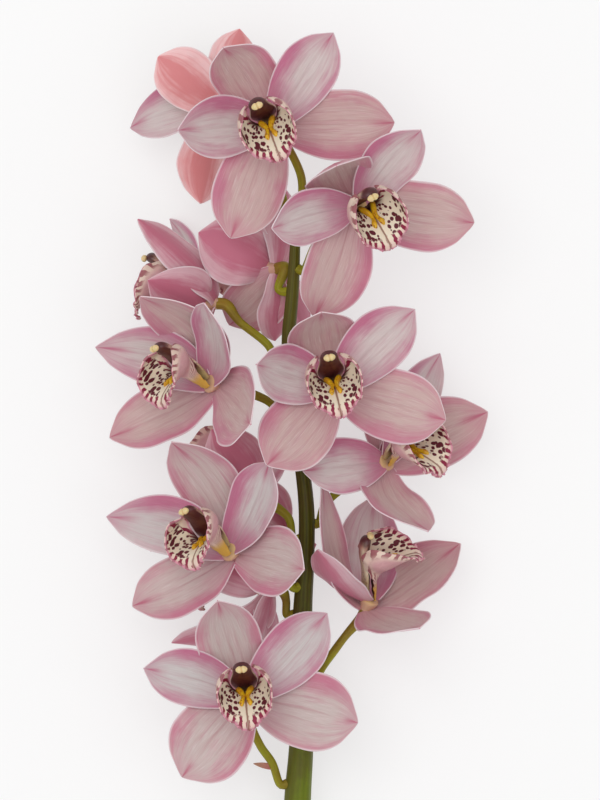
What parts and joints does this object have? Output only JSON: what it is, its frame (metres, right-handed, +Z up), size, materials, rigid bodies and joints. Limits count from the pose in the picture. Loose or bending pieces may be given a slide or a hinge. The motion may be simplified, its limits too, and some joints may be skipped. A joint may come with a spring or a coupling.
{
  "type": "cymbidium orchid stem",
  "caption": "Cut flower stem of a boat orchid, lying flat: a green stalk with open five-tepalled flowers, each with a spotted lip and an arched column.",
  "frame": {"origin": "on the level surface the stem lies on, below the centre of the whole stem's box", "axes": "+Z is up from the surface, +Y runs along the stem from its cut end to its top flower, and +X is to the right of the stem seen from above"},
  "size_m": [0.198, 0.5376, 0.1154],
  "materials": {
    "stem_green": "waxy dark green plant skin",
    "pedicel_olive": "smooth olive green plant skin",
    "petal_pink": "waxy pale pink petal with mauve margins and veins",
    "lip_spotted": "cream petal spotted with burgundy, pink at its margin",
    "column_maroon": "smooth maroon and cream, waxy",
    "bract_tan": "dry papery scale"
  },
  "bodies": {
    "root": {"stem": "stem_green", "flower_01_column": "column_maroon", "flower_01_lip": "lip_spotted", "flower_01_pedicel": "pedicel_olive", "flower_01_tepals": "petal_pink", "flower_02_column": "column_maroon", "flower_02_lip": "lip_spotted", "flower_02_pedicel": "pedicel_olive", "flower_02_tepals": "petal_pink", "flower_03_column": "column_maroon", "flower_03_lip": "lip_spotted", "flower_03_pedicel": "pedicel_olive", "flower_03_tepals": "petal_pink", "flower_04_column": "column_maroon", "flower_04_lip": "lip_spotted", "flower_04_pedicel": "pedicel_olive", "flower_04_tepals": "petal_pink", "flower_05_column": "column_maroon", "flower_05_lip": "lip_spotted", "flower_05_pedicel": "pedicel_olive", "flower_05_tepals": "petal_pink", "flower_06_column": "column_maroon", "flower_06_lip": "lip_spotted", "flower_06_pedicel": "pedicel_olive", "flower_06_tepals": "petal_pink", "flower_07_column": "column_maroon", "flower_07_lip": "lip_spotted", "flower_07_pedicel": "pedicel_olive", "flower_07_tepals": "petal_pink", "flower_08_column": "column_maroon", "flower_08_lip": "lip_spotted", "flower_08_pedicel": "pedicel_olive", "flower_08_tepals": "petal_pink", "flower_09_column": "column_maroon", "flower_09_lip": "lip_spotted", "flower_09_pedicel": "pedicel_olive", "flower_09_tepals": "petal_pink", "flower_10_column": "column_maroon", "flower_10_lip": "lip_spotted", "flower_10_pedicel": "pedicel_olive", "flower_10_tepals": "petal_pink", "flower_11_column": "column_maroon", "flower_11_lip": "lip_spotted", "flower_11_pedicel": "pedicel_olive", "flower_11_tepals": "petal_pink", "flower_12_column": "column_maroon", "flower_12_lip": "lip_spotted", "flower_12_pedicel": "pedicel_olive", "flower_12_tepals": "petal_pink", "flower_13_column": "column_maroon", "flower_13_lip": "lip_spotted", "flower_13_pedicel": "pedicel_olive", "flower_13_tepals": "petal_pink", "flower_13_bract": "bract_tan"}
  },
  "joints": []
}
